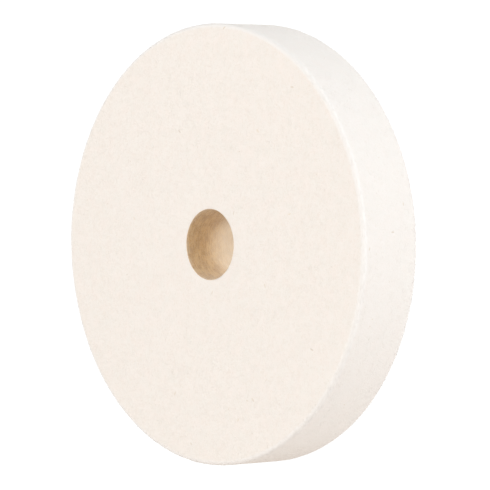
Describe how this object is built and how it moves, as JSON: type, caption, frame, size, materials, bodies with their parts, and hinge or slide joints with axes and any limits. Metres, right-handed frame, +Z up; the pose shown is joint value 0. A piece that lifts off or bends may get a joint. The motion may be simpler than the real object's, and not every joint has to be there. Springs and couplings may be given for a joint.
{
  "type": "felt polishing wheel",
  "caption": "Thick disc of hard pressed wool felt with a plain round bore, clamped on a grinder or lapidary spindle to polish stone, glass and metal on its rim and faces.",
  "frame": {"origin": "centre of the bore, midway between the two faces", "axes": "+Y along the wheel's axis, from the front face to the back face; +Z up, with the wheel standing on its rim"},
  "size_m": [0.125, 0.0206, 0.125],
  "materials": {
    "felt": "cream wool felt pressed hard, matt, sanded faces and rim, paler where the edges are rounded over, with a few dark specks of plant matter",
    "scorched_felt": "the same felt scorched brown and hard by the cutting of the bore, mottled, with faint streaks round it"
  },
  "bodies": {
    "root": {"felt_disc": "felt", "bore_skin": "scorched_felt"}
  },
  "joints": []
}
